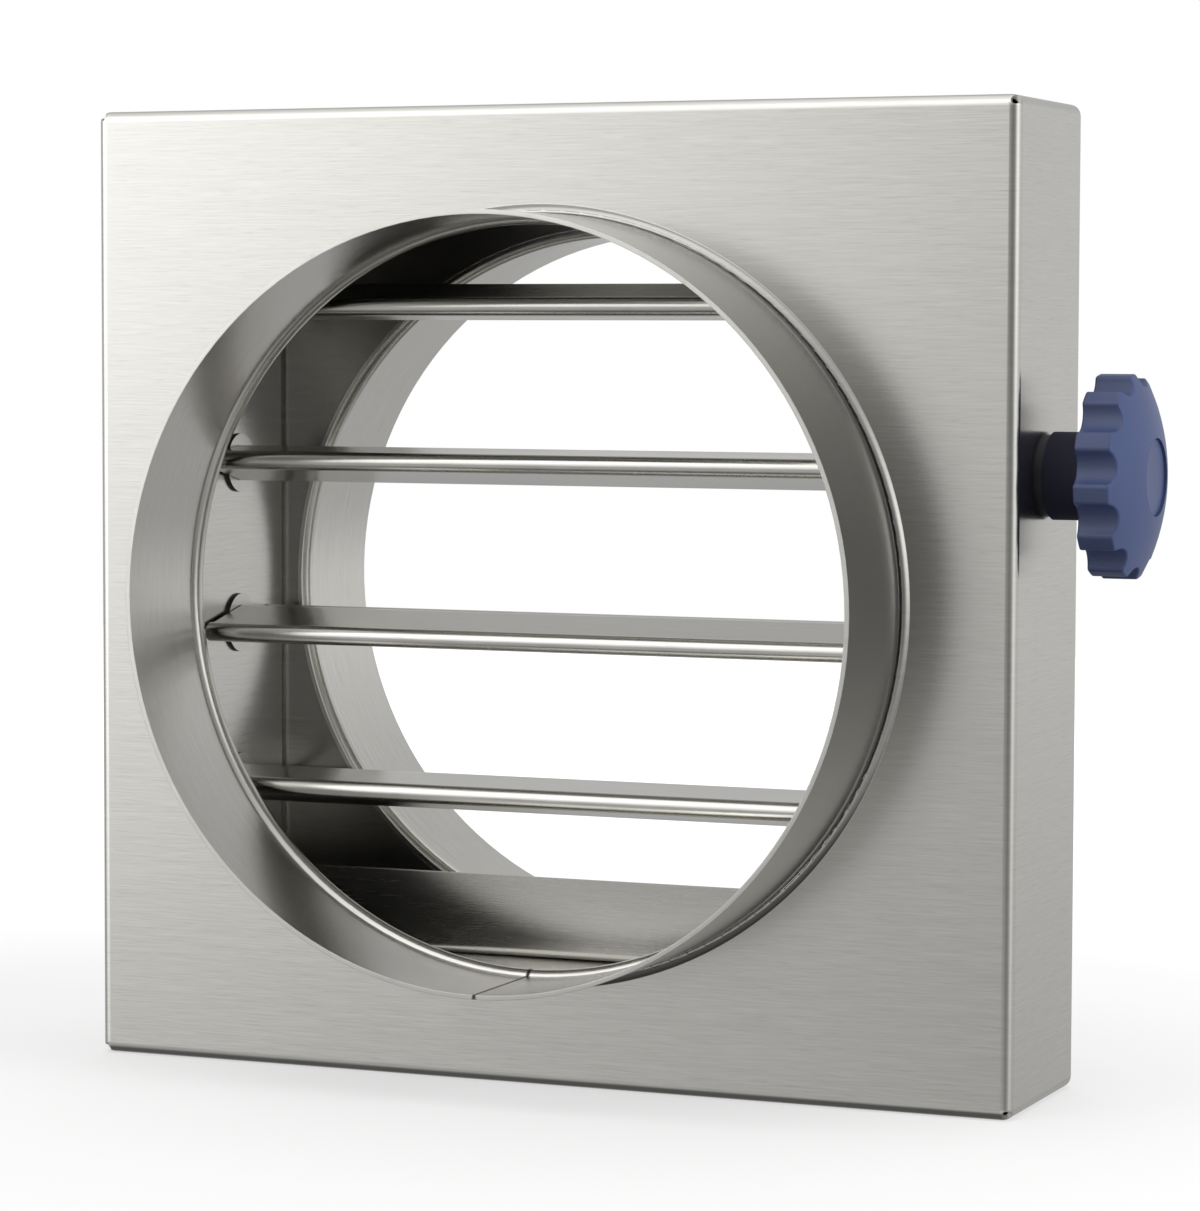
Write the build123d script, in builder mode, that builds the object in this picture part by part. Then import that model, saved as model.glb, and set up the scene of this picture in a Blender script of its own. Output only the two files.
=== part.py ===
"""Multi-blade volume control damper for a round duct, in millimetres.

A folded stainless casing stands on its bottom face. The duct axis runs along Y, the front collar
faces -Y and the hand knob is on the +X side. Four double-skin blades turn on shafts along X.
Meshing gears in the right side pocket turn neighbouring blades opposite ways, and the knob turns
the second blade. The origin is the centre of the casing's underside, and +Z is up.
"""
import os
from math import acos, cos, pi, radians, sin, sqrt, tan

from build123d import *

# Duct collars
collar_radius = 124.5
rear_collar_radius = 122.0
collar_sheet = 1.5
collar_length = 49.0
collar_bead = 3.5
collar_seam = 0.5
collar_fit = 0.1
collar_hole_round = 1.2

# Blades, counted from the top, and the fixed strip below them as a share of their pitch
blade_count = 4
strip_share = 0.5
blade_edge_gap = 0.4
blade_skin = 1.0
blade_bead = 3.2
blade_neck = 2.4
blade_hem = 3.6
blade_end_gap = 0.4
blade_open_tilt = 4.0
shaft_radius = 5.0
shaft_fit = 0.05
shaft_chamfer = 0.6

# Gears
gear_teeth = 22
gear_pressure_angle = 20.0
gear_dedendum = 1.25
gear_backlash = 0.2
gear_face = 8.0
gear_hub_radius = 10.5
gear_hub_length = 8.0
gear_recess = 2.0
gear_rim = 4.0
gear_room = 2.0
gear_float = 0.4

# Bearings
bush_flange_radius = 10.0
bush_flange = 1.2
bush_radius = 7.0
bush_length = 5.5
bush_fit = 0.05
running_clearance = 0.03

# Inner frame
frame_sheet = 1.5
frame_bend = 3.0
frame_flange = 14.0
frame_end_fit = 0.1
frame_overrun = 12.0
chamber_side_gap = 2.5
strip_foot = 12.0

# Casing
casing_sheet = 1.5
casing_bend = 3.5
casing_corner = 3.7
casing_lip = 18.0
casing_relief = 1.4
side_pocket = 32.0
end_pocket = 33.25

# Rear panel
rear_sheet = 1.5
rear_inset = 6.0
rear_corner = 8.0
screw_edge = 6.0
screw_spacing = 100.0
screw_radius = 2.0
screw_fit = 0.15
screw_head_radius = 4.0
screw_head = 2.4
screw_head_chamfer = 0.9
screw_grip = 3.0

# Shaft ends
clip_radius = 9.0
clip_sheet = 1.0
clip_groove = 0.8
clip_fit = 0.1
clip_mouth = 7.0
shaft_tail = 3.0
grub_radius = 2.0
grub_fit = 0.05
grub_sink = 0.5
grub_socket = 1.0
grub_socket_depth = 1.5

# Hand knob, on the second blade's shaft
knob_blade = 1
gland_flange_radius = 13.0
gland_flange = 1.5
gland_length = 5.0
knob_gap = 0.4
knob_stem_radius = 14.0
knob_stem = 15.0
knob_radius = 32.5
knob_rim = 11.5
knob_dome = 7.8
knob_lobes = 12
knob_scallop = 5.8
knob_scallop_depth = 4.0
knob_clock = 23.4
knob_lobe_round = 1.5
knob_edge_round = 0.8
knob_grip = 23.0
cap_radius = 12.2
cap_sheet = 1.6
cap_sink = 2.0
cap_fit = 0.15

# Places that follow from the sizes above
chamber_height = 2 * collar_radius - collar_sheet
blade_pitch = chamber_height / (blade_count + strip_share)
strip_height = strip_share * blade_pitch
gear_radius = blade_pitch / 2
gear_module = blade_pitch / gear_teeth
gear_tip_radius = gear_radius + gear_module
gear_root_radius = gear_radius - gear_dedendum * gear_module
chamber_half = collar_radius + chamber_side_gap
pocket_wall = chamber_half + frame_sheet
casing_width = 2 * (pocket_wall + side_pocket + casing_sheet)
casing_height = chamber_height + 2 * (frame_sheet + end_pocket + casing_sheet)
casing_depth = 2 * (gear_tip_radius + gear_room + frame_sheet + casing_sheet)
axis_z = casing_height / 2
front_face = -casing_depth / 2
front_inside = front_face + casing_sheet
rear_inside = casing_depth / 2
rear_face = rear_inside + rear_sheet
roof_z = axis_z + chamber_height / 2
floor_z = axis_z - chamber_height / 2
pivot_z = [roof_z - blade_pitch * (i + 0.5) for i in range(blade_count)]
blade_half = chamber_half - bush_flange - blade_end_gap
blade_half_chord = blade_pitch / 2 - blade_edge_gap
bush_end = chamber_half + bush_length
gear_start = bush_end + gear_float
hub_start = gear_start + gear_face
hub_end = hub_start + gear_hub_length
shaft_start = -(bush_end + clip_fit + clip_sheet + clip_fit + shaft_tail)
wall_outside = casing_width / 2
wall_inside = wall_outside - casing_sheet
stem_start = wall_outside + gland_flange + knob_gap
wheel_start = stem_start + knob_stem
wheel_front = wheel_start + knob_rim
knob_front = wheel_front + knob_dome


def section(x, z, tilt=0.0):
    """A plane across a blade's shaft at x, turned with the blade, seen from the +X side."""
    turn = radians(tilt)
    return Plane(origin=(x, 0, z), x_dir=(0, cos(turn), sin(turn)), z_dir=(1, 0, 0))


def upright(y, z=axis_z):
    """A plane facing the front at depth y, with X to the right and Z up."""
    return Plane(origin=(0, y, z), x_dir=(1, 0, 0), z_dir=(0, -1, 0))


def rest_tilt(i):
    """Neighbouring blades lean opposite ways, just short of fully open."""
    return blade_open_tilt if i % 2 == 0 else -blade_open_tilt


def save(piece, name):
    """Label a finished piece and write it under its own name."""
    piece.part.label = name
    export_step(piece.part, f"parts/{name}.step")


def folded_box(width, depth, height, bend, corner):
    """A closed box with rounded bends, standing where the casing stands."""
    with BuildPart() as box:
        with Locations((0, 0, axis_z)):
            Box(width, depth, height)
        fillet(box.edges().filter_by(Axis.Y), corner)
        fillet(box.faces().filter_by(Axis.Y).edges(), bend)
    return box.part


# The rear panel's screws stand on the middle of the casing's lips.
screw_x = casing_width / 2 - rear_inset - screw_edge
screw_z = casing_height / 2 - rear_inset - screw_edge
screw_rows = [-screw_spacing, 0, screw_spacing]
screw_places = [(side * screw_x, row) for side in (-1, 1) for row in screw_rows]
screw_places += [(row, side * screw_z) for side in (-1, 1) for row in screw_rows]

os.makedirs("parts", exist_ok=True)

# Casing shell: one sheet folded into the front panel, four sides and the rear lips
casing_outside = folded_box(casing_width, casing_depth, casing_height, casing_bend, casing_corner)
casing_inside = folded_box(
    casing_width - 2 * casing_sheet,
    casing_depth - 2 * casing_sheet,
    casing_height - 2 * casing_sheet,
    casing_bend - casing_sheet,
    casing_corner - casing_sheet,
)
with BuildPart() as casing_shell:
    add(casing_outside)
    add(casing_inside, mode=Mode.SUBTRACT)
    with BuildSketch(upright(rear_inside)):
        Rectangle(casing_width - 2 * casing_lip, casing_height - 2 * casing_lip)
        with Locations(screw_places):
            Circle(screw_radius + screw_fit)
    extrude(amount=2 * casing_sheet, mode=Mode.SUBTRACT)
    with BuildSketch(upright(front_inside + casing_sheet)):
        Circle(collar_radius + collar_fit)
    extrude(amount=3 * casing_sheet, mode=Mode.SUBTRACT)
    front_panel = casing_shell.faces().filter_by(Axis.Y).sort_by(Axis.Y)[0]
    collar_hole = front_panel.edges().filter_by(GeomType.CIRCLE).sort_by(SortBy.LENGTH)[-1]
    fillet(collar_hole, collar_hole_round)
    with BuildSketch(upright(front_face + casing_bend)):
        with GridLocations(casing_width - casing_bend, casing_height - casing_bend, 2, 2):
            Circle(casing_relief)
    extrude(amount=2 * casing_bend, mode=Mode.SUBTRACT)
    with BuildSketch(section(wall_inside - casing_sheet, pivot_z[knob_blade])):
        Circle(bush_radius + bush_fit)
    extrude(amount=3 * casing_sheet, mode=Mode.SUBTRACT)
save(casing_shell, "casing_shell")

# Rear panel: a flat cover screwed to the lips
with BuildPart() as rear_panel:
    with BuildSketch(upright(rear_face)):
        RectangleRounded(casing_width - 2 * rear_inset, casing_height - 2 * rear_inset, rear_corner)
        Circle(rear_collar_radius + collar_fit, mode=Mode.SUBTRACT)
        with Locations(screw_places):
            Circle(screw_radius + screw_fit, mode=Mode.SUBTRACT)
    extrude(amount=rear_sheet)
save(rear_panel, "rear_panel")

with BuildPart() as rear_panel_screws:
    with BuildSketch(upright(rear_face + screw_head)):
        with Locations(screw_places):
            Circle(screw_head_radius)
    extrude(amount=screw_head)
    chamfer(rear_panel_screws.faces().group_by(Axis.Y)[-1].edges(), screw_head_chamfer)
    with BuildSketch(upright(rear_face)):
        with Locations(screw_places):
            Circle(screw_radius)
    extrude(amount=rear_sheet + casing_sheet + screw_grip)
save(rear_panel_screws, "rear_panel_screws")


def rolled_collar(radius, face, sheet, way):
    """A rolled strip through the panel, with a bead swaged into it there and a butt seam below.

    face is the panel's outer face, sheet its thickness, and way is -1 for the front.
    """
    bead_y = face + way * collar_bead
    wall_length = collar_length + sheet
    wall_middle = face + way * (collar_length - sheet) / 2
    with BuildPart() as collar:
        with BuildSketch(Plane.XY.offset(axis_z)):
            with Locations((radius, bead_y)):
                Circle(collar_bead)
            with Locations((radius + collar_bead, bead_y)):
                Rectangle(2 * collar_bead, 2 * collar_bead, mode=Mode.SUBTRACT)
            with Locations((radius - collar_sheet / 2, wall_middle)):
                Rectangle(collar_sheet, wall_length)
            with Locations((radius, bead_y)):
                Circle(collar_bead - collar_sheet, mode=Mode.SUBTRACT)
        revolve(axis=Axis((0, 0, axis_z), (0, 1, 0)))
        with Locations((0, wall_middle, axis_z - radius)):
            Box(collar_seam, 2 * wall_length, 4 * collar_bead, mode=Mode.SUBTRACT)
    return collar


save(rolled_collar(collar_radius, front_face, casing_sheet, -1), "front_collar")
save(rolled_collar(rear_collar_radius, rear_face, rear_sheet, 1), "rear_collar")

# Inner frame: two bearing channels beside the blades, a roof and a floor between them
channel_depth = rear_inside - front_inside
channel_middle = (rear_inside + front_inside) / 2


def channel_section(plane, reach):
    """A channel's profile, drawn with its web along the plane's Y axis and open towards +X."""
    with BuildSketch(plane) as profile:
        with Locations((reach / 2, 0)):
            Rectangle(reach, channel_depth)
        with Locations((frame_sheet + reach / 2, 0)):
            Rectangle(reach, channel_depth - 2 * frame_sheet, mode=Mode.SUBTRACT)
        fillet(profile.vertices().group_by(Axis.X)[1], frame_bend - frame_sheet)
        fillet(profile.vertices().group_by(Axis.X)[0], frame_bend)
    return profile.sketch


def bearing_channel(way):
    """The upright channel on one side, with a bearing hole for each blade."""
    foot = Plane(
        origin=(way * chamber_half, channel_middle, floor_z - frame_overrun),
        x_dir=(way, 0, 0),
        z_dir=(0, 0, 1),
    )
    profile = channel_section(Plane.XY, frame_flange)
    with BuildPart() as channel:
        with BuildSketch(foot):
            add(profile)
        extrude(amount=chamber_height + 2 * frame_overrun)
        for z in pivot_z:
            with BuildSketch(section(way * chamber_half - way * frame_sheet, z)):
                Circle(bush_radius + bush_fit)
            extrude(amount=3 * way * frame_sheet, mode=Mode.SUBTRACT)
    return channel


def cross_channel(z, way):
    """The roof or the floor, a channel that spans the bearing channels and opens outwards."""
    end = Plane(
        origin=(-(chamber_half - frame_end_fit), channel_middle, z),
        x_dir=(0, 0, way),
        z_dir=(1, 0, 0),
    )
    profile = channel_section(Plane.XY, frame_flange)
    with BuildPart() as channel:
        with BuildSketch(end):
            add(profile)
        extrude(amount=2 * (chamber_half - frame_end_fit))
    return channel


save(bearing_channel(-1), "left_bearing_channel")
save(bearing_channel(1), "right_bearing_channel")
save(cross_channel(roof_z, 1), "chamber_roof")
save(cross_channel(floor_z, -1), "chamber_floor")

# Blanking strip: an angle on the floor that fills the half pitch below the lowest blade
with BuildPart() as blanking_strip:
    with BuildSketch(section(-(chamber_half - frame_end_fit), floor_z)) as strip_profile:
        with Locations((-frame_sheet / 2, 0)):
            Rectangle(strip_foot, strip_height, align=(Align.MIN, Align.MIN))
        with Locations((frame_sheet / 2, frame_sheet)):
            Rectangle(strip_foot, strip_height, align=(Align.MIN, Align.MIN), mode=Mode.SUBTRACT)
        heel = strip_profile.vertices().sort_by_distance((-frame_sheet / 2, 0))[0]
        fillet(heel, frame_bend)
        crook = strip_profile.vertices().sort_by_distance((frame_sheet / 2, frame_sheet))[0]
        fillet(crook, frame_bend - frame_sheet)
    extrude(amount=2 * (chamber_half - frame_end_fit))
save(blanking_strip, "blanking_strip")


def flanged_bush(z, face, way, flange_radius, flange, length):
    """A bearing whose flange sits on a wall's face and whose barrel goes through it along way."""
    with BuildPart() as bush:
        with BuildSketch(section(face, z)):
            Circle(flange_radius)
        extrude(amount=-way * flange)
        with BuildSketch(section(face, z)):
            Circle(bush_radius)
        extrude(amount=way * length)
        with BuildSketch(section(face - way * flange, z)):
            Circle(shaft_radius + running_clearance)
        extrude(amount=way * (flange + length), mode=Mode.SUBTRACT)
    return bush


for i, z in enumerate(pivot_z):
    left = flanged_bush(z, -chamber_half, -1, bush_flange_radius, bush_flange, bush_length)
    save(left, f"left_bush_{i + 1}")
    right = flanged_bush(z, chamber_half, 1, bush_flange_radius, bush_flange, bush_length)
    save(right, f"right_bush_{i + 1}")

wall_bush = flanged_bush(
    pivot_z[knob_blade], wall_outside, -1, gland_flange_radius, gland_flange, gland_length
)
save(wall_bush, "wall_bush")

# Blades: two skins laid over the shaft and hemmed into a round bead along both edges
crest = shaft_radius + shaft_fit + blade_skin
bead_at = blade_half_chord - blade_bead
bead_places = [(-bead_at, 0), (bead_at, 0)]


def aerofoil(plane, middle, neck):
    """The hull of a circle round the shaft and a smaller one at each bead."""
    with BuildSketch(plane) as outline:
        Circle(middle)
        with Locations(bead_places):
            Circle(neck)
        make_hull()
    return outline.sketch


def double_skin_blade(i):
    """One hollow blade, at its rest tilt."""
    plane = section(-blade_half, pivot_z[i], rest_tilt(i))
    outside = aerofoil(Plane.XY, crest, blade_neck)
    hollow = aerofoil(Plane.XY, crest - blade_skin, blade_neck - blade_skin)
    with BuildSketch() as cavity:
        add(hollow)
        Rectangle(2 * (bead_at - blade_hem), 2 * crest, mode=Mode.INTERSECT)
    with BuildPart() as blade:
        with BuildSketch(plane):
            add(outside)
            with Locations(bead_places):
                Circle(blade_bead)
            add(cavity.sketch, mode=Mode.SUBTRACT)
        extrude(amount=2 * blade_half)
    return blade


def blade_shaft(i):
    """A round shaft with a groove for the clip. The knob's blade has a longer one."""
    end = stem_start + knob_grip if i == knob_blade else hub_end + shaft_tail
    groove = -(bush_end + clip_fit + clip_sheet + clip_fit)
    with BuildPart() as shaft:
        with BuildSketch(section(shaft_start, pivot_z[i])):
            Circle(shaft_radius)
        extrude(amount=end - shaft_start)
        chamfer(shaft.edges().filter_by(GeomType.CIRCLE), shaft_chamfer)
        with BuildSketch(section(groove, pivot_z[i])):
            Circle(shaft_radius + clip_groove)
            Circle(shaft_radius - clip_groove, mode=Mode.SUBTRACT)
        extrude(amount=clip_sheet + 2 * clip_fit, mode=Mode.SUBTRACT)
    return shaft


def shaft_clip(i):
    """A retaining ring, open at one side, that stops the shaft sliding to the right."""
    with BuildPart() as clip:
        with BuildSketch(section(-(bush_end + clip_fit + clip_sheet), pivot_z[i], rest_tilt(i))):
            Circle(clip_radius)
            Circle(shaft_radius - clip_groove + clip_fit, mode=Mode.SUBTRACT)
            with Locations((clip_radius, 0)):
                Rectangle(2 * clip_radius, clip_mouth, mode=Mode.SUBTRACT)
        extrude(amount=clip_sheet)
    return clip


# Gears: involute teeth, thinned by the backlash, in step with their neighbours at rest
base_radius = gear_radius * cos(radians(gear_pressure_angle))


def involute(angle):
    return tan(angle) - angle


def tooth_half_angle(radius):
    """Half the angle that a tooth covers at a radius on or outside the base circle."""
    at_pitch = pi / (2 * gear_teeth) - gear_backlash / (4 * gear_radius)
    pressure = acos(min(1.0, base_radius / radius))
    return at_pitch + involute(radians(gear_pressure_angle)) - involute(pressure)


def polar(radius, angle):
    return (radius * cos(angle), radius * sin(angle))


def gear_outline(first_tooth):
    """The toothed outline, drawn tooth by tooth. first_tooth is the angle of one tooth."""
    tip = gear_tip_radius
    middle = (base_radius + tip) / 2
    pitch_angle = 2 * pi / gear_teeth
    base_half = tooth_half_angle(base_radius)
    middle_half = tooth_half_angle(middle)
    tip_half = tooth_half_angle(tip)
    with BuildSketch() as outline:
        with BuildLine():
            for tooth in range(gear_teeth):
                a = first_tooth + tooth * pitch_angle
                gap = a + pitch_angle / 2
                next_base = a + pitch_angle - base_half
                Line(polar(gear_root_radius, a - base_half), polar(base_radius, a - base_half))
                ThreePointArc(
                    polar(base_radius, a - base_half),
                    polar(middle, a - middle_half),
                    polar(tip, a - tip_half),
                )
                ThreePointArc(polar(tip, a - tip_half), polar(tip, a), polar(tip, a + tip_half))
                ThreePointArc(
                    polar(tip, a + tip_half),
                    polar(middle, a + middle_half),
                    polar(base_radius, a + base_half),
                )
                Line(polar(base_radius, a + base_half), polar(gear_root_radius, a + base_half))
                ThreePointArc(
                    polar(gear_root_radius, a + base_half),
                    polar(gear_root_radius, gap),
                    polar(gear_root_radius, next_base),
                )
        make_face()
    return outline.sketch


def blade_gear(i):
    """A moulded gear with a recessed web and a hub for its grub screw."""
    step = 0 if i % 2 == 0 else pi / gear_teeth
    outline = gear_outline(pi / 2 + step)
    with BuildPart() as gear:
        with BuildSketch(section(gear_start, pivot_z[i])):
            add(outline)
        extrude(amount=gear_face)
        with BuildSketch(section(hub_start - gear_recess, pivot_z[i])):
            Circle(gear_root_radius - gear_rim)
        extrude(amount=gear_recess, mode=Mode.SUBTRACT)
        with BuildSketch(section(hub_start - gear_recess, pivot_z[i])):
            Circle(gear_hub_radius)
        extrude(amount=gear_recess + gear_hub_length)
        with BuildSketch(section(gear_start, pivot_z[i])):
            Circle(shaft_radius + running_clearance)
        extrude(amount=hub_end - gear_start, mode=Mode.SUBTRACT)
        with BuildSketch(grub_plane((hub_start + hub_end) / 2, i)):
            Circle(grub_radius + grub_fit)
        extrude(amount=2 * gear_hub_radius, mode=Mode.SUBTRACT)
    return gear


def grub_plane(x, i):
    """A plane through the shaft's axis that faces the rear, where the grub screws are reached."""
    return Plane(origin=(x, 0, pivot_z[i]), x_dir=(1, 0, 0), z_dir=(0, 1, 0))


def grub_screw(x, i, outer_radius):
    """A grub screw from the shaft's surface to just below the outside of its hub."""
    start = shaft_radius + grub_fit
    end = outer_radius - grub_sink
    with BuildPart() as grub:
        with BuildSketch(grub_plane(x, i).offset(start)):
            Circle(grub_radius)
        extrude(amount=end - start)
        with BuildSketch(grub_plane(x, i).offset(end - grub_socket_depth)):
            RegularPolygon(grub_socket, 6)
        extrude(amount=grub_socket_depth, mode=Mode.SUBTRACT)
    return grub


for i in range(blade_count):
    save(double_skin_blade(i), f"blade_{i + 1}")
    save(blade_shaft(i), f"blade_shaft_{i + 1}")
    save(shaft_clip(i), f"shaft_clip_{i + 1}")
    save(blade_gear(i), f"blade_gear_{i + 1}")
    save(grub_screw((hub_start + hub_end) / 2, i, gear_hub_radius), f"gear_screw_{i + 1}")

# Hand knob: a stem and a domed wheel with scalloped sides, on the second blade's shaft
knob_z = pivot_z[knob_blade]
knob_screw_x = stem_start + knob_stem / 2
cap_floor = knob_front - cap_sink - cap_sheet
with BuildPart() as hand_knob:
    with BuildSketch(upright(0, knob_z)):
        with BuildLine():
            Polyline(
                (knob_front, 0),
                (stem_start, 0),
                (stem_start, knob_stem_radius),
                (wheel_start, knob_stem_radius),
                (wheel_start, knob_radius),
                (wheel_front, knob_radius),
            )
            dome_radius = (knob_radius**2 + knob_dome**2) / (2 * knob_dome)
            dome_mid = sqrt(dome_radius**2 - (knob_radius / 2) ** 2) - dome_radius
            ThreePointArc(
                (wheel_front, knob_radius), (knob_front + dome_mid, knob_radius / 2), (knob_front, 0)
            )
        make_face()
    revolve(axis=Axis((0, 0, knob_z), (1, 0, 0)))
    scallop_at = knob_radius - knob_scallop_depth + knob_scallop
    with BuildSketch(section(wheel_start, knob_z)):
        with PolarLocations(scallop_at, knob_lobes, start_angle=knob_clock):
            Circle(knob_scallop)
    extrude(amount=knob_front - wheel_start, mode=Mode.SUBTRACT)
    fillet(hand_knob.edges().filter_by(Axis.X).filter_by(GeomType.LINE), knob_lobe_round)
    dome_edge = hand_knob.faces().filter_by(GeomType.SPHERE)[0].outer_wire().edges()
    wheel_back = hand_knob.faces().filter_by(Plane.YZ).group_by(SortBy.AREA)[-1]
    fillet(dome_edge + wheel_back[0].outer_wire().edges(), knob_edge_round)
    with BuildSketch(section(cap_floor, knob_z)):
        Circle(cap_radius + cap_fit)
    extrude(amount=cap_sheet + 2 * cap_sink, mode=Mode.SUBTRACT)
    with BuildSketch(section(stem_start, knob_z)):
        Circle(shaft_radius + running_clearance)
    extrude(amount=knob_grip + shaft_fit, mode=Mode.SUBTRACT)
    with BuildSketch(grub_plane(knob_screw_x, knob_blade)):
        Circle(grub_radius + grub_fit)
    extrude(amount=2 * knob_stem_radius, mode=Mode.SUBTRACT)
save(hand_knob, "hand_knob")

save(grub_screw(knob_screw_x, knob_blade, knob_stem_radius), "knob_screw")

with BuildPart() as knob_cap:
    with BuildSketch(section(cap_floor, knob_z)):
        Circle(cap_radius)
    extrude(amount=cap_sheet)
save(knob_cap, "knob_cap")
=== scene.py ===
# %% [markdown]
# The damper is a folded stainless casing with a round collar on each side, four blades that turn
# together and a blue hand knob. The imported model already holds every piece in its true place, in
# metres, so this script starts from it. It keeps the box that the solids fill, and the floor is
# later set at its bottom.

# %% Load the imported model
from math import cos, pi, radians, sin

import bpy
from mathutils import Euler, Matrix, Vector


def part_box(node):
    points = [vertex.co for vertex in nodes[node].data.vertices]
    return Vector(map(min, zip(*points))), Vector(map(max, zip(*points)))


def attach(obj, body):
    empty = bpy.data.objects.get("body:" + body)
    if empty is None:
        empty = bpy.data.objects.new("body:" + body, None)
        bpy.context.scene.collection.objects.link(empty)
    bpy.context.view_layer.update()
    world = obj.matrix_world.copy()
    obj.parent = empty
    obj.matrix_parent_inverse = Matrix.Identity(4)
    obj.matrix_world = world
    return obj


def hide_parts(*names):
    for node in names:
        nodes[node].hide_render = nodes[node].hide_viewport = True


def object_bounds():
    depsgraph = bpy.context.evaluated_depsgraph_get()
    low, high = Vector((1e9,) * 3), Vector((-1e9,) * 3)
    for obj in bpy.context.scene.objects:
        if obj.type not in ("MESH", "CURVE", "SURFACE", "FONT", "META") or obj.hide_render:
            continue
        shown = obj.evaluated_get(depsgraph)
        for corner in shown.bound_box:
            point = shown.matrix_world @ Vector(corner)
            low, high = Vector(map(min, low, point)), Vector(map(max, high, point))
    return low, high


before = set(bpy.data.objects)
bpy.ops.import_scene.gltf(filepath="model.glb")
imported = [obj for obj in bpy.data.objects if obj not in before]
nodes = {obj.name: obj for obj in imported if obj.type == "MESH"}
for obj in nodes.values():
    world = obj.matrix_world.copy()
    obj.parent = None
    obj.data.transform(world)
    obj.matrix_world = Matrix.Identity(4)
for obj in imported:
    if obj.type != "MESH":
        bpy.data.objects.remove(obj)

cad_low, cad_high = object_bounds()
bpy.ops.object.select_all(action="DESELECT")
print("solids:", len(nodes), "box in mm:", [round(1000 * v) for v in cad_high - cad_low])

# %% [markdown]
# The camera comes first, because every later choice is judged through it. Its place and lens were
# worked out from the casing's corners, the collar's rim and the blades' pivots. The long lens
# stands well back and a little to the knob's side, with the eye just below the top blade.

# %% Camera
CAMERA_PLACE = (0.53761, -1.27223, 0.24517)
CAMERA_YAW = radians(-22.607)
CAMERA_PITCH = radians(-3.714)
CAMERA_ROLL = radians(0.168)
FOCAL_PIXELS = 4158.1
PHOTO_WIDTH = 1200

camera_data = bpy.data.cameras.new("camera")
camera_data.sensor_fit = "HORIZONTAL"
camera_data.sensor_width = 36.0
camera_data.lens = FOCAL_PIXELS / PHOTO_WIDTH * camera_data.sensor_width
camera = bpy.data.objects.new("camera", camera_data)
bpy.context.scene.collection.objects.link(camera)
aim = Euler((pi / 2 + CAMERA_PITCH, 0, -CAMERA_YAW)).to_matrix()
turned = aim @ Matrix.Rotation(CAMERA_ROLL, 3, "Z")
camera.matrix_world = Matrix.Translation(CAMERA_PLACE) @ turned.to_4x4()
bpy.context.scene.camera = camera
bpy.context.scene.view_settings.view_transform = "Standard"
print("lens:", round(camera_data.lens, 1), "mm")

# %% [markdown]
# Finishes are written as sums. A wire stands for one output of a node, and adding or multiplying
# wires adds the Math nodes that do it, so a pattern reads like the formula that it is. Every other
# node comes from one method: its type, its settings, then the values or wires of its sockets.


# %% Node sums
class Wire:
    """One output in a node tree, with the arithmetic that the finishes use."""

    def __init__(self, web, socket):
        self.web = web
        self.socket = socket

    def sum(self, operation, first, second=0.0):
        return self.web.node("Math", {"operation": operation}, {0: first, 1: second})

    def __add__(self, other):
        return self.sum("ADD", self, other)

    __radd__ = __add__

    def __mul__(self, other):
        return self.sum("MULTIPLY", self, other)

    __rmul__ = __mul__

    def __sub__(self, other):
        return self.sum("SUBTRACT", self, other)

    def __rsub__(self, other):
        return self.sum("SUBTRACT", other, self)

    def __truediv__(self, other):
        return self.sum("DIVIDE", self, other)

    def __pow__(self, other):
        return self.sum("POWER", self, other)


class Web:
    """A node tree with one method that adds a node and feeds it."""

    def __init__(self, tree):
        self.tree = tree

    def feed(self, socket, value):
        if isinstance(value, Wire):
            self.tree.links.new(value.socket, socket)
        else:
            socket.default_value = value

    def node(self, kind, settings=None, sockets=None, out=0):
        made = self.tree.nodes.new("ShaderNode" + kind)
        for name, value in (settings or {}).items():
            setattr(made, name, value)
        for name, value in (sockets or {}).items():
            self.feed(made.inputs[name], value)
        return Wire(self, made.outputs[out])

    def place(self):
        """The three object coordinates, in metres, as three wires."""
        spot = self.node("TexCoord", out=3)
        return [self.node("SeparateXYZ", {}, {0: spot}, out=axis) for axis in range(3)]

    def noise(self, x, y, z, detail=2.0, roughness=0.5):
        """A noise from 0 to 1 whose grain is one unit of the coordinates given."""
        at = self.node("CombineXYZ", {}, {0: x, 1: y, 2: z})
        sockets = {"Vector": at, "Scale": 1.0, "Detail": detail, "Roughness": roughness}
        return self.node("TexNoise", {}, sockets)

    def between(self, share, low, high):
        """A colour between two colours."""
        return self.node("Mix", {"data_type": "RGBA"}, {0: share, 6: low, 7: high}, out=2)

    def limit(self, value, low, high, start=0.0, end=1.0):
        """A value brought from the range low to high into start to end, and held there."""
        return self.node("MapRange", {}, {0: value, 1: low, 2: high, 3: start, 4: end})


def finish(name, **constants):
    """A new material, its web and its main shader, with the shader's constant values set."""
    material = bpy.data.materials.new(name)
    material.use_nodes = True
    shader = material.node_tree.nodes["Principled BSDF"]
    for socket, value in constants.items():
        shader.inputs[socket.replace("_", " ")].default_value = value
    return material, Web(material.node_tree), shader


def wear(material, *names):
    """Put a finish on solid pieces."""
    for name in names:
        nodes[name].data.materials.clear()
        nodes[name].data.materials.append(material)


print("node sums ready")

# %% [markdown]
# The studio is plain, with a pale floor that runs into white. A real studio gets this from a paper
# sweep lit from behind. Here the floor glows a little, and more with distance, so no line is seen
# where it ends. It is left out of mirror images, because the room below stands in for it there.

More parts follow.
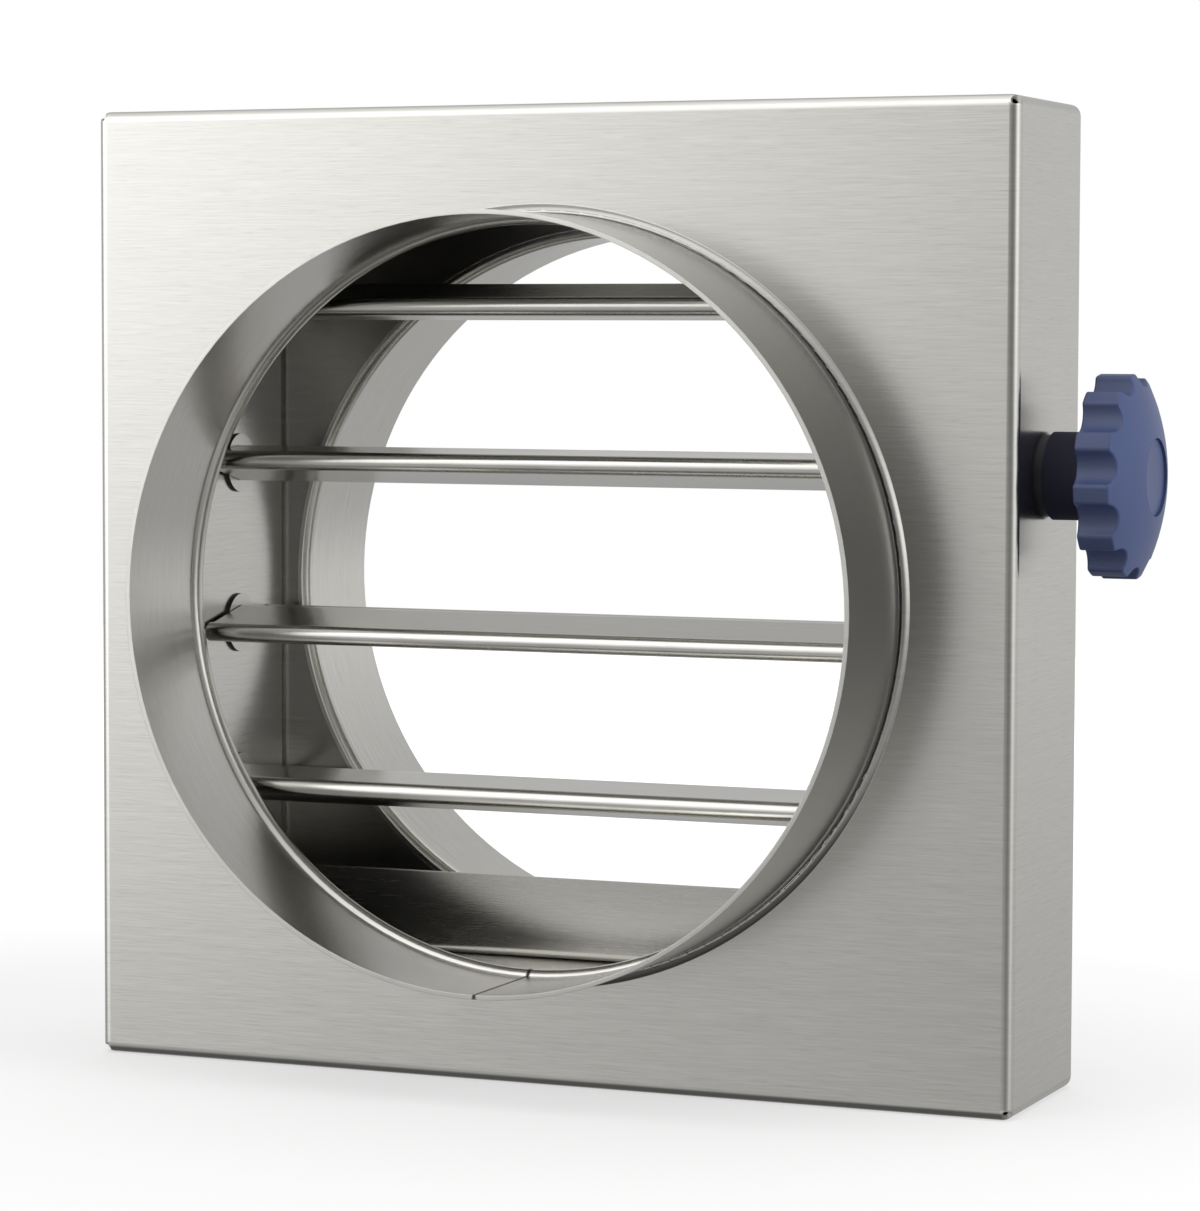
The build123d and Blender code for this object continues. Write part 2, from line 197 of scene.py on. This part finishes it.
# %% Studio floor
bpy.ops.mesh.primitive_plane_add(size=3.6, location=(0, 0, cad_low.z))
floor = bpy.context.object
floor.name = "studio_floor"
floor_finish, floor_web, floor_shader = finish("pale floor", Roughness=0.9)
floor_shader.inputs["Base Color"].default_value = (0.22, 0.22, 0.219, 1)
floor_shader.inputs["Emission Strength"].default_value = 1.0
floor_x, floor_y, floor_z = floor_web.place()
away = (floor_x * floor_x + floor_y * floor_y) ** 0.5
share = floor_web.limit(away, 0.3, 1.0, 0.54, 0.9)
floor_web.feed(floor_shader.inputs["Emission Color"],
               floor_web.between(share, (0, 0, 0, 1), (1, 1, 1, 1)))
floor.data.materials.append(floor_finish)
floor.visible_glossy = False
print("floor at", round(cad_low.z, 4))

# %% [markdown]
# Metal shows the room around it, so the room does most of the lighting. It is a dark grey on the
# camera's side, with a large window on the left, a softer light above and a strip on the right that
# draws the bright line down the casing's bend. Behind the damper it is a middle grey. The slow
# change of tone on the front panel is the edge of the window. The camera itself sees plain white.

# %% Studio room
world = bpy.context.scene.world or bpy.data.worlds.new("room")
bpy.context.scene.world = world
world.use_nodes = True
room = Web(world.node_tree)
look = room.node("TexCoord", out=0)


def glow(azimuth, height, width):
    """A soft patch of light, from 0 to 1, towards an azimuth and a height in degrees."""
    a, h = radians(azimuth), radians(height)
    centre = (sin(a) * cos(h), -cos(a) * cos(h), sin(h))
    near = room.node("VectorMath", {"operation": "DOT_PRODUCT"}, {0: look, 1: centre}, out=1)
    return room.limit(near, 0.0, 1.0) ** width


look_y, look_z = [room.node("SeparateXYZ", {}, {0: look}, out=axis) for axis in (1, 2)]
behind = room.limit(look_y, -0.15, 0.45)
below = room.limit(look_z, -0.1, -0.5)
low_behind = room.limit(look_z, -0.06, -0.22)
high_behind = room.limit(look_z, 0.12, 0.5)
under = room.limit(look_z, -0.5, -0.8)
window = glow(-50, 12, 9) * room.limit(look_z, -0.22, -0.05, 0.42, 1.0)
tone = 0.13 + behind * (0.54 - low_behind * 0.22 - high_behind * 0.22)
tone = (tone + below * (1.0 - behind) * 0.3) * (1.0 - under * 0.75) + glow(30, 0, 6) * 0.05
tone = tone + window * 2.65 + glow(0, -22, 20) * 0.3
tone = tone + glow(-10, 75, 3) * 1.1 + glow(-20, 42, 10) * 0.6 + glow(78, 12, 14) * 1.6
seen = room.node("LightPath", out=0)
tone = tone + seen * (1.0 - tone)
background = world.node_tree.nodes["Background"]
room.feed(background.inputs["Strength"], tone)
background.inputs["Color"].default_value = (1, 1, 1, 1)
print("room lit")

# %% [markdown]
# Two soft lamps light the floor and the plastic knob, which show light and not the room. They are
# left out of mirror images, so the metal keeps the tones that the room gives it.


# %% Studio lamps
def soft_lamp(name, place, target, width, height, power):
    lamp_data = bpy.data.lights.new(name, "AREA")
    lamp_data.shape = "RECTANGLE"
    lamp_data.size = width
    lamp_data.size_y = height
    lamp_data.energy = power
    lamp = bpy.data.objects.new(name, lamp_data)
    bpy.context.scene.collection.objects.link(lamp)
    lamp.location = place
    lamp.rotation_euler = (Vector(target) - Vector(place)).to_track_quat("-Z", "Y").to_euler()
    return lamp


MIDDLE = (0, 0, 0.16)
top_lamp = soft_lamp("top_lamp", (-0.3, 0.1, 2.2), MIDDLE, 2.4, 2.0, 42)
side_lamp = soft_lamp("side_lamp", (1.9, -0.3, 0.75), (0.19, 0, 0.2), 0.9, 0.9, 54)
top_lamp.visible_glossy = side_lamp.visible_glossy = False
print("lamps hung")

# %% [markdown]
# Brushed stainless is the main finish. A belt drags fine scratches along the sheet before it is cut
# and folded, so each scratch is long and hair thin, and light smears across it. Stretched noise
# gives the scratches, and a second noise with only its peaks kept gives a few short dark ones. Cut
# edges are never quite sharp, so a small rounding is added to the way that the surface faces.


# %% Brushed sheet
SCRATCH_LENGTH = 0.016
SCRATCH_WIDTH = 0.00042
EDGE_ROUND = 0.0004


def brushed(name, colour, along, across, depth, smooth, roll=None, shade_and_seam=None):
    """Stainless with scratches. along and across give its two coordinates from x, y and z.

    roll gives the place of a rolled edge and the way that it faces. The last argument goes from 0 to
    1
    where the sheet is painted darker: painted shade, and on the collars also the dark seam line.
    """
    material, web, shader = finish(name, Metallic=1.0, Anisotropic=0.35)
    x, y, z = web.place()
    run = along(web, x, y, z)
    width = across(web, x, y, z)
    fine = web.noise(run / SCRATCH_LENGTH, width / SCRATCH_WIDTH, 0.0, detail=3.0)
    coarse = web.noise(run / (5 * SCRATCH_LENGTH), width / (6 * SCRATCH_WIDTH), 7.0)
    cloud = web.noise(x / 0.05, y / 0.05, z / 0.03, detail=1.0)
    grain = fine * 0.75 + coarse * 0.25
    peaks = web.noise(run / 0.008, width / 0.0005, 3.0, detail=1.0)
    nick = web.limit(peaks, 0.62, 0.74, 0.0, 0.2)
    tone = web.limit(grain, 0.3, 0.7)
    dark = tuple(0.93 * c for c in colour) + (1.0,)
    light = tuple(min(1.0, 1.06 * c) for c in colour) + (1.0,)
    nicked = tuple(0.6 * c for c in colour) + (1.0,)
    paint = web.between(nick, web.between(tone, dark, light), nicked)
    # Painted shade, and on the collars the dark seam line, mixed into the colour.
    if shade_and_seam:
        shade_and_seam_tone = tuple(0.25 * c for c in colour) + (1.0,)
        paint = web.between(shade_and_seam(web, x, y, z), paint, shade_and_seam_tone)
    web.feed(shader.inputs["Base Color"], paint)
    web.feed(shader.inputs["Roughness"], smooth - 0.05 + grain * 0.08 + cloud * 0.03)
    edge = web.node("Bevel", {"samples": 2}, {"Radius": EDGE_ROUND})
    if roll:
        inside, way = roll(web, x, y, z)
        edge = web.node("Mix", {"data_type": "VECTOR"}, {0: inside, 4: edge, 5: way}, out=1)
        edge = web.node("VectorMath", {"operation": "NORMALIZE"}, {0: edge})
        grain = grain * (1.0 - inside)
    height = {"Strength": depth, "Distance": 0.0001, "Height": grain, "Normal": edge}
    web.feed(shader.inputs["Normal"], web.node("Bump", {}, height))
    return material


STEEL = (0.66, 0.65, 0.615)
DUCT_HEIGHT = (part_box("front_collar")[0].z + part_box("front_collar")[1].z) / 2
COLLAR_RADIUS = 0.1245


def reach(x, z):
    """Distance from the duct's axis."""
    return (x * x + (z - DUCT_HEIGHT) ** 2) ** 0.5


print("brushing ready")

# %% [markdown]
# On the casing the scratches run level round the front and sides, and along the roof. Round the
# front collar the panel has a soft rounded foot, which catches the light as a thin ring. The gap
# inside it is painted dark and the ring a little darker, as painted shade. The inside of the rear
# cover and the fixed strip are painted darker than the rest, as painted shade, because little light
# reaches them.


# %% Casing finish
def level_run(web, x, y, z):
    return x + y


def level_width(web, x, y, z):
    """Across the scratches: height on the upright faces, depth on the top and bottom."""
    facing = web.node("SeparateXYZ", {}, {0: web.node("TexCoord", out=1)}, out=2)
    flat = web.limit(facing * facing, 0.4, 0.6)
    return z + flat * (y - z)


def foot_ring(web, x, y, z):
    """Where the rounded foot round the front collar is, and the way that it faces."""
    out = reach(x, z)
    tilt = web.limit(out, 0.1246, 0.1276, 0.0, 1.4) / out
    way = web.node("CombineXYZ", {}, {0: x * tilt, 1: -1.0, 2: (z - DUCT_HEIGHT) * tilt})
    inside = web.limit(out, 0.1277, 0.1274) * web.limit(y, -0.0325, -0.0335)
    return inside, way


def hole_gap_shade(web, x, y, z):
    """Painted shade: dark in the gap beside the collar and a little darker on the ring."""
    out = reach(x, z)
    return web.limit(out, 0.1251, 0.1248, 0.25, 1.0) * web.limit(out, 0.1277, 0.1274)


def cover_inner_shade(web, x, y, z):
    """Painted shade on the side of the cover that faces the blades."""
    return web.limit(y, 0.0362, 0.0354, 0.0, 0.45)


# Painted shade: the whole fixed strip is painted darker.
def strip_shade(web, x, y, z):
    return 0.36


panel_steel = brushed("panel steel", STEEL, level_run, level_width, 0.1, 0.22, roll=foot_ring,
                      shade_and_seam=hole_gap_shade)
frame_steel = brushed("frame steel", STEEL, level_run, level_width, 0.1, 0.22)
cover_steel = brushed("cover steel", STEEL, level_run, level_width, 0.1, 0.22, shade_and_seam=cover_inner_shade)
strip_steel = brushed("strip steel", STEEL, level_run, level_width, 0.1, 0.26, shade_and_seam=strip_shade)
wear(panel_steel, "casing_shell")
wear(frame_steel, "left_bearing_channel", "right_bearing_channel", "chamber_roof", "chamber_floor")
wear(cover_steel, "rear_panel")
wear(strip_steel, "blanking_strip")
print("sheet pieces brushed")

# %% [markdown]
# A collar is a strip rolled into a ring, so its scratches run round it. The angle about the duct's
# axis, counted from the top, makes them meet at the seam at the bottom. The seam shows as a dark
# line. The outside is painted darker than the bore as painted shade, deepest in the groove behind
# the bead. The rear collar's steel is painted a slightly lighter tone, a painted highlight.


# %% Collar finish
def round_run(web, x, y, z):
    return web.node("Math", {"operation": "ARCTAN2"}, {0: x, 1: z - DUCT_HEIGHT}) * COLLAR_RADIUS


def round_width(web, x, y, z):
    return y


def seam_and_painted_shade(web, x, y, z):
    """Dark along the seam, and painted shade on the outside, told by the way that it faces, deepest
    in the groove.
    """
    way = web.node("TexCoord", out=1)
    way_x, way_z = [web.node("SeparateXYZ", {}, {0: way}, out=axis) for axis in (0, 2)]
    outside = web.limit(way_x * x + way_z * (z - DUCT_HEIGHT), 0.0, 0.01)
    groove = web.limit(y, -0.0408, -0.0396) * web.limit(y, 0.0, -0.01)
    seam = web.limit(x * x, 0.0009 ** 2, 0.0005 ** 2) * web.limit(z, DUCT_HEIGHT, 0.1)
    return seam * 0.8 + (1.0 - seam) * outside * (0.46 + groove * 0.25)


# The rear collar's steel is a lighter copy of the same steel: a painted highlight.
HIGHLIGHT_PAINTED_STEEL = tuple(1.14 * c for c in STEEL)
front_steel = brushed("front collar steel", STEEL, round_run, round_width, 0.08, 0.21,
                      shade_and_seam=seam_and_painted_shade)
rear_steel = brushed("rear collar steel", HIGHLIGHT_PAINTED_STEEL, round_run, round_width, 0.08, 0.21,
                     shade_and_seam=seam_and_painted_shade)
wear(front_steel, "front_collar")
wear(rear_steel, "rear_collar")
print("collars brushed")

# %% [markdown]
# Blade skins are brushed along their length before they are folded, and the bars through them are
# ground bright, so their marks run round. The clips and screws are plain and less smooth.


# %% Blade finish
def blade_run(web, x, y, z):
    return x


def blade_width(web, x, y, z):
    return y + z * 0.37


blade_steel = brushed("blade steel", STEEL, blade_run, blade_width, 0.08, 0.2)
bar_steel = brushed("bar steel", (0.6, 0.6, 0.59), blade_width, blade_run, 0.05, 0.22)
screw_steel = brushed("screw steel", (0.55, 0.55, 0.54), blade_run, blade_width, 0.05, 0.3)
for i in "1234":
    wear(blade_steel, "blade_" + i)
    wear(bar_steel, "blade_shaft_" + i)
    wear(screw_steel, "shaft_clip_" + i, "gear_screw_" + i)
wear(screw_steel, "rear_panel_screws", "knob_screw")
print("blades and bars finished")

# %% [markdown]
# The knob is moulded in navy plastic with a fine satin skin, which a noise of small pebbles gives.
# Its stem and the back of its wheel are set deeper in tone, because they stay in the wheel's shade.
# The bush that it turns on is near black with a blue tint: painted shade for the dark ring at the
# stem's foot. The gears are natural white nylon.


# %% Plastics
KNOB_HEIGHT = (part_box("hand_knob")[0].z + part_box("hand_knob")[1].z) / 2


def moulded(name, colour, rough, skin, depth, shade_below=-1.0):
    """Plastic with a fine pebbled skin. It is deeper in tone where x is less than shade_below."""
    material, web, shader = finish(name, Specular_IOR_Level=0.5)
    x, y, z = web.place()
    pebble = web.noise(x / skin, y / skin, z / skin, detail=2.0)
    cloud = web.noise(x / 0.02, y / 0.02, z / 0.02, detail=1.0)
    low = tuple(0.9 * c for c in colour) + (1.0,)
    high = tuple(min(1.0, 1.12 * c) for c in colour) + (1.0,)
    deep = (0.06 * colour[0], 0.08 * colour[1], 0.2 * colour[2], 1.0)
    off_axis = y * y + (z - KNOB_HEIGHT) ** 2
    stem = web.limit(x, shade_below + 0.0003, shade_below)
    stem = stem * web.limit(off_axis, 0.0146 ** 2, 0.0152 ** 2, 1.0, 0.6)
    web.feed(shader.inputs["Base Color"], web.between(stem, web.between(cloud, low, high), deep))
    web.feed(shader.inputs["Roughness"], rough - 0.04 + pebble * 0.08 + stem * 0.3)
    bump = web.node("Bump", {}, {"Strength": depth, "Distance": 0.0001, "Height": pebble})
    web.feed(shader.inputs["Normal"], bump)
    return material


knob_blue = moulded("navy plastic", (0.021, 0.032, 0.082), 0.42, 0.0007, 0.25, 0.1791)
# The knob's bush is near black with a blue tint: painted shade for the dark ring at the stem's foot.
bush_shade_dark = moulded("bush in painted shade", (0.008, 0.009, 0.014), 0.5, 0.0006, 0.2)
white_nylon = moulded("natural nylon", (0.78, 0.77, 0.71), 0.45, 0.0006, 0.2)
wear(knob_blue, "hand_knob", "knob_cap")
wear(bush_shade_dark, "wall_bush")
for i in "1234":
    wear(white_nylon, "blade_gear_" + i)
print("plastics moulded")

# %% [markdown]
# Each shaft bush has a steel face that looks like the wall. Its rim is painted near black and not
# metal: painted shade for the thin dark line round the flange. The face is told from the rim by the
# way that it points.

# %% Bush finish
bush_finish, bush_web, bush_shader = finish("washered bush", Anisotropic=0.2)
x, y, z = bush_web.place()
sideways = bush_web.node("SeparateXYZ", {}, {0: bush_web.node("TexCoord", out=1)}, out=0)
washer = bush_web.limit(sideways * sideways, 0.45, 0.55)
polish = bush_web.noise(y / 0.0004, z / 0.004, x / 0.004)
# The rim's near-black tone is painted shade.
rim_shade_tone = (0.012, 0.012, 0.013, 1)
washer_tone = tuple(0.95 * c for c in STEEL) + (1.0,)
bush_web.feed(bush_shader.inputs["Base Color"], bush_web.between(washer, rim_shade_tone, washer_tone))
bush_web.feed(bush_shader.inputs["Metallic"], washer)
bush_web.feed(bush_shader.inputs["Roughness"], 0.5 - washer * 0.28 + polish * 0.06)
for i in "1234":
    wear(bush_finish, "left_bush_" + i, "right_bush_" + i)
print("bushes finished")

# %% [markdown]
# The rear panel is held by twelve pan-head screws. A real head is pressed from wire, with its rim
# rounded over and a cross punched into its middle. Here a disc gets its round rim from a bevel, and
# a tapered bar cuts the cross in two strokes. One head is made and copied, and every copy is turned
# by another amount, because no two screws stop at the same angle.


# %% Screw heads
def pick_faces(piece, test):
    """Go into edit mode with only those faces selected whose middle and normal pass a test."""
    bpy.context.view_layer.objects.active = piece
    bpy.ops.object.mode_set(mode="EDIT")
    bpy.ops.mesh.select_mode(type="FACE")
    bpy.ops.mesh.select_all(action="DESELECT")
    bpy.ops.object.mode_set(mode="OBJECT")
    for face in piece.data.polygons:
        face.select = test(face.center, face.normal)
    bpy.ops.object.mode_set(mode="EDIT")


HEAD_RADIUS = 0.004
HEAD_HEIGHT = 0.0024
SCREW_SPACING = 0.1

bpy.ops.object.select_all(action="DESELECT")
bpy.ops.mesh.primitive_cylinder_add(vertices=64, radius=HEAD_RADIUS, depth=HEAD_HEIGHT)
head = bpy.context.object
pick_faces(head, lambda middle, normal: normal.z > 0.9)
bpy.ops.mesh.bevel(offset=0.0014, segments=8, profile=0.55, affect="EDGES")
bpy.ops.object.mode_set(mode="OBJECT")

bpy.ops.mesh.primitive_cube_add(size=1, location=(0, 0, HEAD_HEIGHT / 2))
cutter = bpy.context.object
bpy.ops.transform.resize(value=(0.0046, 0.0010, 0.0032))
bpy.ops.object.transform_apply(location=False, rotation=False, scale=True)
pick_faces(cutter, lambda middle, normal: normal.z < -0.9)
bpy.ops.transform.resize(value=(0.45, 0.6, 1))
bpy.ops.object.mode_set(mode="OBJECT")
for turn in (0, pi / 2):
    cutter.rotation_euler.z = turn
    bpy.context.view_layer.objects.active = head
    stroke = head.modifiers.new("cross", "BOOLEAN")
    stroke.object = cutter
    stroke.solver = "EXACT"
    bpy.ops.object.modifier_apply(modifier="cross")
bpy.data.objects.remove(cutter)
print("screw head:", len(head.data.polygons), "faces")

# %% Screws in their places
screws_low, screws_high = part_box("rear_panel_screws")
edge_x = screws_high.x - HEAD_RADIUS
edge_z = (screws_high.z - screws_low.z) / 2 - HEAD_RADIUS
rows = (-SCREW_SPACING, 0, SCREW_SPACING)
places = [(side * edge_x, row) for side in (-1, 1) for row in rows]
places += [(row, side * edge_z) for side in (-1, 1) for row in rows]
heads = []
for number, (across, up) in enumerate(places):
    bpy.ops.object.select_all(action="DESELECT")
    head.select_set(True)
    bpy.context.view_layer.objects.active = head
    bpy.ops.object.duplicate()
    copy = bpy.context.object
    copy.location = (across, screws_high.y - HEAD_HEIGHT / 2, DUCT_HEIGHT + up)
    copy.rotation_euler = (-pi / 2, 2.4 * number, 0)
    heads.append(copy)
bpy.data.objects.remove(head)
bpy.ops.object.select_all(action="DESELECT")
for copy in heads:
    copy.select_set(True)
bpy.context.view_layer.objects.active = heads[0]
bpy.ops.object.join()
screw_heads = bpy.context.object
screw_heads.name = "rear_screw_heads"
bpy.ops.object.transform_apply(location=True, rotation=True, scale=True)
bpy.ops.object.shade_smooth_by_angle(angle=radians(35))
screw_heads.data.materials.clear()
screw_heads.data.materials.append(screw_steel)
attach(screw_heads, "casing")
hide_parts("rear_panel_screws")
print("screws:", len(places))
